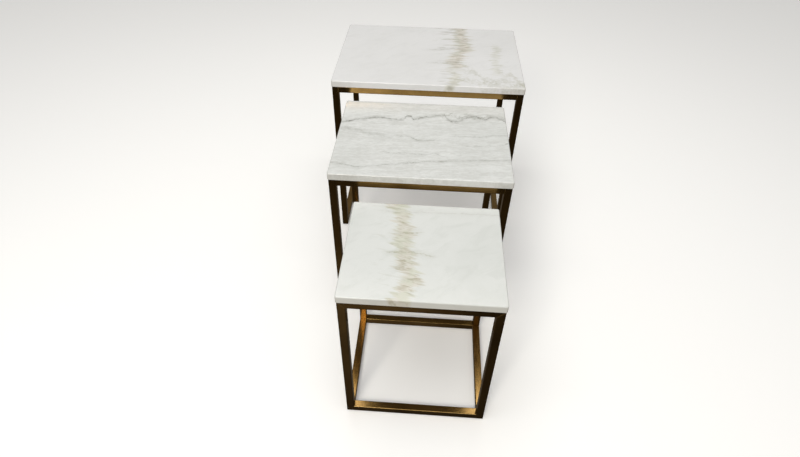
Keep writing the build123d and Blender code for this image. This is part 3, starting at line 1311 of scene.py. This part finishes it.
@dataclass
class CornerTabs:
    """The four triangular tabs under one slab, and the beads that weld them to the ring."""

    table: str
    inset: float = 7 * MM
    run: float = 16 * MM
    drop: float = 3 * MM

    def build(self, tree: WeldBeadTree, finish: bpy.types.Material) -> list[bpy.types.Object]:
        """Dress the tabs and lay their beads.

        Args:
            tree: The tree that lays a bead.
            finish: Material of the tabs and the beads.

        Returns:
            The beads' pieces, one for each tab.
        """
        pieces = []
        for end, toward_y in (("front", 1), ("back", -1)):
            for side, toward_x in (("left", 1), ("right", -1)):
                node = f"{self.table}_corner_tab_{end}_{side}"
                dress(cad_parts[node], finish)
                pieces.append(self.bead(tree, node, toward_x, toward_y, finish))
        return pieces

    def bead(
        self,
        tree: WeldBeadTree,
        node: str,
        toward_x: int,
        toward_y: int,
        finish: bpy.types.Material,
    ) -> bpy.types.Object:
        """Lay the two beads of one tab, under its edges along the ring.

        Args:
            tree: The tree that lays a bead.
            node: The tab.
            toward_x: Which way the tab reaches in X.
            toward_y: Which way the tab reaches in Y.
            finish: The beads' material.

        Returns:
            The beads as one piece.
        """
        low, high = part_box(node)
        corner = Vector((low.x if toward_x > 0 else high.x, low.y if toward_y > 0 else high.y, low.z))
        work = bmesh.new()
        for direction in (Vector((toward_x, 0, 0)), Vector((0, toward_y, 0))):
            start = corner + direction * (self.inset + self.drop)
            line = tree.run(f"{node}_line", start=start, end=start + direction * self.run, material=finish)
            work.from_mesh(line)
            bpy.data.meshes.remove(line)
        mesh = bpy.data.meshes.new(f"{node}_weld_beads")
        work.to_mesh(mesh)
        work.free()
        mesh.materials.append(finish)
        shade(mesh)
        return show(mesh, f"{self.table}_table", "antique_brass")


@dataclass(frozen=True)
class Lamp:
    """One soft light."""

    name: str
    place: Triple
    aim: Triple
    size: Point
    power: float
    colour: Colour

    def hang(self) -> None:
        """Hang the light, facing the point that it aims at."""
        data = bpy.data.lights.new(self.name, "AREA")
        data.shape = "RECTANGLE"
        data.size, data.size_y = self.size
        data.energy = self.power
        data.color = self.colour
        lamp = bpy.data.objects.new(self.name, data)
        bpy.context.scene.collection.objects.link(lamp)
        lamp.location = self.place
        lamp.rotation_euler = (Vector(self.aim) - Vector(self.place)).to_track_quat("-Z", "Y").to_euler()


@dataclass
class Studio:
    """Pale floor, soft light and the camera.

    Each ramp of the surrounding light has two values of its direction, and then the strength at each.
    """

    LAMPS: ClassVar[tuple[Lamp, ...]] = (
        Lamp("overhead", (-0.5, -0.9, 4.5), (0, 0, 0.4), (3.0, 3.0), 76, (0.965, 0.985, 1.0)),
        Lamp("strip", (0.02, 0.66, 2.2), (0.02, 0.2, 0.3), (1.4, 0.24), 6.5, (1.0, 0.96, 0.88)),
        Lamp("window", (-0.90, -3.0, 2.72), (0, 0, 0.5), (0.75, 0.85), 46, (1.0, 0.94, 0.84)),
    )
    HORIZON: ClassVar[Point] = (-0.06, -0.015)
    FRONT_TO_BACK: ClassVar[Ramp] = (-0.55, 0.45, 0.42, 0.17)
    LOW_SKY: ClassVar[Ramp] = (0.02, 0.34, 0.56, 0.0)
    UNDER_HORIZON: ClassVar[Ramp] = (-0.40, 0.40, 0.045, 0.10)
    GLOW: ClassVar[Ramp] = (0.985, 0.9995, 0.0, 0.20)
    FLOOR_BOUNCE: ClassVar[float] = 0.36
    FLOOR_PAINT: ClassVar[Colour] = (0.95, 0.95, 0.945)
    SENSOR_WIDTH: ClassVar[float] = 36.0

    eye: Vector = field(default_factory=lambda: Vector((0.0092, -1.3393, 1.3749)))
    pitch: float = 42.555
    heading: float = -3.28
    roll: float = -0.878
    focal: float = 24.37
    floor_reach: float = 90.0
    glow: Vector = field(default_factory=lambda: Vector((-0.07, -0.64, -0.765)).normalized())
    ground_colour: Colour = (0.9, 0.78, 0.62)
    sky_colour: Colour = (1.0, 0.975, 0.93)

    def floor(self) -> None:
        """A plain pale floor under the feet, which metal doesn't mirror."""
        low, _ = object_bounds()
        mesh = bpy.data.meshes.new("floor")
        reach = self.floor_reach
        turns = ((-1, -1), (1, -1), (1, 1), (-1, 1))
        mesh.from_pydata([(reach * x, reach * y, low.z) for x, y in turns], [], [(0, 1, 2, 3)])
        material, wiring, shader = start_material("floor_paint")
        wiring.feed(shader, {
            "Base Color": (*self.FLOOR_PAINT, 1), "Roughness": 0.9,
            "Emission Color": (1, 1, 1, 1), "Emission Strength": 0.17,
        })
        mesh.materials.append(material)
        floor = bpy.data.objects.new("floor", mesh)
        bpy.context.scene.collection.objects.link(floor)
        floor.visible_glossy = False
        floor.visible_diffuse = False
        floor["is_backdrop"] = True

    def sky(self) -> None:
        """Soft light from all round, bright above the horizon and dark below it."""
        world = bpy.data.worlds.new("studio")
        bpy.context.scene.world = world
        world.use_nodes = True
        wiring = Wiring(world.node_tree)
        backdrop = world.node_tree.nodes["Background"]
        heading = wiring.add("ShaderNodeTexCoord").outputs["Generated"]
        split = wiring.add("ShaderNodeSeparateXYZ", {0: heading})
        depth, height = split.outputs[1], split.outputs[2]
        lift = wiring.span(height, *self.HORIZON)
        ahead = wiring.span(depth, *self.FRONT_TO_BACK)
        above = wiring.math("MAXIMUM", ahead, wiring.span(height, *self.LOW_SKY))
        toward = wiring.add("ShaderNodeVectorMath", {0: heading, 1: self.glow}, operation="DOT_PRODUCT")
        glow = wiring.span(toward.outputs["Value"], *self.GLOW)
        below = wiring.plus(wiring.span(depth, *self.UNDER_HORIZON), glow)
        level = wiring.plus(below, wiring.times(lift, above))
        diffuse = wiring.add("ShaderNodeLightPath").outputs["Is Diffuse Ray"]
        dimming = wiring.math("MULTIPLY_ADD", lift, -self.FLOOR_BOUNCE, self.FLOOR_BOUNCE)
        wiring.feed(backdrop, {
            "Color": wiring.mix(lift, self.ground_colour, self.sky_colour),
            "Strength": wiring.plus(level, wiring.times(diffuse, dimming)),
        })

    def camera(self) -> None:
        """Stand the camera in front of the set, looking down along the row of tables."""
        pitch, heading, roll = (math.radians(angle) for angle in (self.pitch, self.heading, self.roll))
        level = Vector((math.cos(heading), -math.sin(heading), 0))
        forward = Vector((math.sin(heading), math.cos(heading), 0))
        ahead = forward * math.cos(pitch) - Vector((0, 0, math.sin(pitch)))
        down = ahead.cross(level)
        right = math.cos(roll) * level + math.sin(roll) * down
        below = -math.sin(roll) * level + math.cos(roll) * down
        data = bpy.data.cameras.new("camera")
        data.sensor_width = self.SENSOR_WIDTH
        data.lens = self.focal
        camera = bpy.data.objects.new("camera", data)
        bpy.context.scene.collection.objects.link(camera)
        turn = Matrix((right, -below, -ahead)).transposed().to_4x4()
        camera.matrix_world = Matrix.Translation(self.eye) @ turn
        bpy.context.scene.camera = camera

    def build(self) -> None:
        """Set up the whole studio."""
        bpy.context.scene.view_settings.view_transform = "Standard"
        self.floor()
        self.sky()
        for lamp in self.LAMPS:
            lamp.hang()
        self.camera()


LARGE_MARBLE = Marble(
    name="golden_vein_marble",
    ground=(0.765, 0.77, 0.78),
    cloud=(0.68, 0.685, 0.685),
    clouding=0.35,
    bands=(
        Band(
            course=((0.0, 0.665), (0.1, 0.68), (0.22, 0.665), (0.32, 0.69),
                    (0.45, 0.68), (0.6, 0.645), (0.8, 0.64), (1.0, 0.64)),
            half_width=27 * MM, ragged=30 * MM, fill=0.5, strokes=0.62, tilt=5, end=0.80, seed=2.0,
        ),
        Band(
            course=((0.0, 0.63), (0.7, 0.63), (0.85, 0.64), (1.0, 0.63)),
            half_width=17 * MM, ragged=22 * MM, fill=0.35, strokes=0.5, start=0.72, seed=31.0,
            tint=(0.60, 0.58, 0.43), dark=(0.30, 0.29, 0.17),
        ),
        Band(
            course=((0.0, 0.87), (0.4, 0.875), (0.6, 0.87), (1.0, 0.86)),
            half_width=15 * MM, ragged=20 * MM, fill=0.30, strokes=0.42, wisps=0.12,
            start=0.26, end=0.86, tilt=12, seed=11.0,
            tint=(0.60, 0.60, 0.50), second_tint=(0.60, 0.60, 0.50), dark=(0.34, 0.34, 0.25),
        ),
    ),
    veins=(
        Vein(course=((0.0, 0.74), (0.66, 0.75), (0.72, 0.77), (0.76, 0.81),
                     (0.79, 0.90), (0.86, 0.90), (1.0, 0.93)),
             strength=0.55, wander=20 * MM, halo=0.6, start=0.64, width=5.0 * MM, colour=(0.40, 0.40, 0.31)),
        Vein(course=((0.0, 0.8), (0.86, 0.76), (0.90, 0.82), (0.94, 0.79), (0.97, 0.90), (1.0, 0.97)),
             strength=0.55, wander=18 * MM, halo=0.6, start=0.84, width=5.5 * MM, colour=(0.40, 0.39, 0.29)),
        Vein(course=((0.0, 0.9), (0.60, 0.93), (0.70, 0.90), (0.78, 0.95), (0.84, 0.97), (1.0, 0.99)),
             strength=0.45, wander=-22 * MM, halo=0.6, start=0.58, width=5.0 * MM, colour=(0.41, 0.41, 0.31)),
        Vein(course=((0.0, 0.7), (0.5, 0.655), (0.58, 0.645), (0.64, 0.64), (1.0, 0.6)),
             strength=0.5, wander=6 * MM, start=0.48, end=0.74, width=5.0 * MM, colour=(0.33, 0.33, 0.28)),
        Vein(course=((0.0, 0.5), (0.5, 0.435), (0.58, 0.41), (0.64, 0.385), (1.0, 0.36)),
             strength=0.45, wander=6 * MM, start=0.44, end=0.74, width=4.5 * MM, colour=(0.33, 0.33, 0.28)),
        Vein(course=((0.0, 0.22), (0.5, 0.225), (0.62, 0.225), (0.75, 0.22), (1.0, 0.2)),
             strength=0.4, wander=6 * MM, start=0.52, end=0.80, width=4.0 * MM, colour=(0.33, 0.33, 0.27)),
    ),
)

MEDIUM_MARBLE = Marble(
    name="river_vein_marble",
    ground=(0.755, 0.77, 0.765),
    cloud=(0.665, 0.685, 0.675),
    clouding=0.55,
    streak=(0.50, 0.505, 0.48),
    streaking=0.5,
    streak_turn=4,
    veins=(
        Vein(
            course=((0.0, 0.325), (0.06, 0.305), (0.1, 0.285), (0.2, 0.245), (0.27, 0.245),
                    (0.30, 0.262), (0.35, 0.268), (0.38, 0.25), (0.395, 0.205), (0.42, 0.205),
                    (0.435, 0.25), (0.47, 0.225), (0.55, 0.20), (0.60, 0.165), (0.625, 0.158),
                    (0.64, 0.225), (0.67, 0.262), (0.71, 0.25), (0.75, 0.195), (0.79, 0.17),
                    (0.83, 0.175), (0.87, 0.215), (0.90, 0.18), (0.94, 0.165), (0.98, 0.20), (1.0, 0.235)),
            width=3.0 * MM, strength=0.9, wander=6 * MM, halo=0.3, colour=(0.11, 0.11, 0.085),
        ),
        Vein(course=((0.0, 0.2), (0.62, 0.19), (0.67, 0.15), (0.71, 0.21),
                     (0.77, 0.16), (0.84, 0.20), (0.92, 0.16), (1.0, 0.19)),
             strength=0.7, wander=-13 * MM, start=0.56, width=2.6 * MM, colour=(0.17, 0.17, 0.13)),
        Vein(course=((0.0, 0.13), (0.7, 0.14), (0.8, 0.15), (0.9, 0.13), (1.0, 0.15)),
             strength=0.4, wander=7 * MM, start=0.66, colour=(0.25, 0.25, 0.21)),
        Vein(course=((0.0, 0.5), (0.35, 0.495), (0.42, 0.495), (0.47, 0.54), (0.6, 0.53), (1.0, 0.5)),
             strength=0.6, wander=4 * MM, start=0.28, end=0.62, width=3 * MM),
        Vein(course=((0.0, 0.40), (0.12, 0.44), (0.2, 0.48), (0.27, 0.50), (0.5, 0.6), (1.0, 0.6)),
             strength=0.4, wander=9 * MM, start=-0.05, end=0.34, width=4 * MM, halo=0.5),
        Vein(course=((0.0, 0.46), (0.7, 0.46), (0.84, 0.465), (0.9, 0.43), (1.0, 0.42)),
             strength=0.45, wander=4 * MM, start=0.62),
        Vein(course=((0.0, 0.6), (0.78, 0.585), (0.86, 0.58), (0.93, 0.565), (1.0, 0.53)),
             strength=0.4, wander=5 * MM, start=0.7),
        Vein(course=((0.0, 0.74), (0.28, 0.705), (0.35, 0.73), (0.42, 0.705),
                     (0.5, 0.73), (0.57, 0.70), (0.62, 0.735), (1.0, 0.7)),
             strength=0.5, wander=5 * MM, start=0.24, end=0.68),
        Vein(course=((0.0, 0.87), (0.08, 0.88), (0.16, 0.905), (0.26, 0.875),
                     (0.38, 0.845), (0.55, 0.80), (0.83, 0.76), (1.0, 0.74)),
             strength=0.6, wander=3 * MM, width=2.6 * MM),
    ),
)

SMALL_MARBLE = Marble(
    name="olive_vein_marble",
    ground=(0.725, 0.745, 0.735),
    cloud=(0.635, 0.66, 0.64),
    clouding=0.5,
    bands=(
        Band(
            course=((0.0, 0.30), (0.1, 0.32), (0.2, 0.35), (0.35, 0.37), (0.5, 0.36),
                    (0.62, 0.39), (0.8, 0.43), (0.9, 0.41), (1.0, 0.38)),
            half_width=24 * MM, ragged=21 * MM, fill=0.5, strokes=0.68, wisps=0.16, tilt=-14, seed=23.0,
            tint=(0.61, 0.55, 0.43), second_tint=(0.57, 0.57, 0.42),
            dark=(0.31, 0.27, 0.145), grey=(0.36, 0.37, 0.27),
        ),
    ),
    veins=(
        Vein(course=((0.0, 0.11), (0.2, 0.10), (0.5, 0.09), (0.75, 0.085), (1.0, 0.08)),
             strength=0.35, wander=3 * MM, start=0.15, width=2.8 * MM, colour=(0.42, 0.42, 0.38)),
        Vein(course=((0.0, 0.56), (0.3, 0.555), (0.42, 0.535), (0.48, 0.545), (0.55, 0.575), (1.0, 0.6)),
             strength=0.6, wander=4 * MM, start=0.22, end=0.60, width=3.2 * MM, colour=(0.31, 0.30, 0.19)),
        Vein(course=((0.0, 0.36), (0.3, 0.35), (0.38, 0.34), (0.46, 0.325), (1.0, 0.3)),
             strength=0.6, wander=4 * MM, start=0.24, end=0.52, width=4.0 * MM, colour=(0.31, 0.30, 0.18)),
    ),
)


ZINC = SmallPartFinish(
    "zinc_plate", light=(0.66, 0.67, 0.69), dark=(0.5, 0.51, 0.54), metallic=1.0, roughness=0.34,
)
TURNED_BRASS = SmallPartFinish(
    "turned_brass", light=(0.72, 0.55, 0.27), dark=(0.55, 0.40, 0.18), metallic=1.0, roughness=0.3,
)
PLASTIC = SmallPartFinish(
    "glide_plastic", light=(0.035, 0.035, 0.036), dark=(0.02, 0.02, 0.021), metallic=0.0, roughness=0.5,
)


def main() -> None:
    """Build the tables from the frame up, then the studio, and report each piece."""
    logging.basicConfig(level=logging.INFO, format="%(name)s: %(message)s")
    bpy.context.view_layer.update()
    brass = AntiqueBrass()
    tube_brass, plate_brass = brass.tube_material(), brass.plate_material()
    zinc, turned, plastic = ZINC.material(), TURNED_BRASS.material(), PLASTIC.material()
    tubes, spots, beads = SquareTubeTree(), FourSpotsTree(), WeldBeadTree()
    marbles = {"large": LARGE_MARBLE, "medium": MEDIUM_MARBLE, "small": SMALL_MARBLE}
    for table, marble in marbles.items():
        pieces = [Slab(table, marble).build()]
        pieces += FrameOfTubes(table, closed=table == "small").build(tubes, tube_brass)
        pieces += CornerTabs(table).build(beads, plate_brass)
        pieces += Fittings(table).build(spots, zinc, plastic)
        dress(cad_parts[f"{table}_slab_inserts"], turned)
        for piece in pieces:
            log.info("%s: %d faces", piece.name, len(piece.data.polygons))
    Studio().build()


if __name__ == "__main__":
    main()
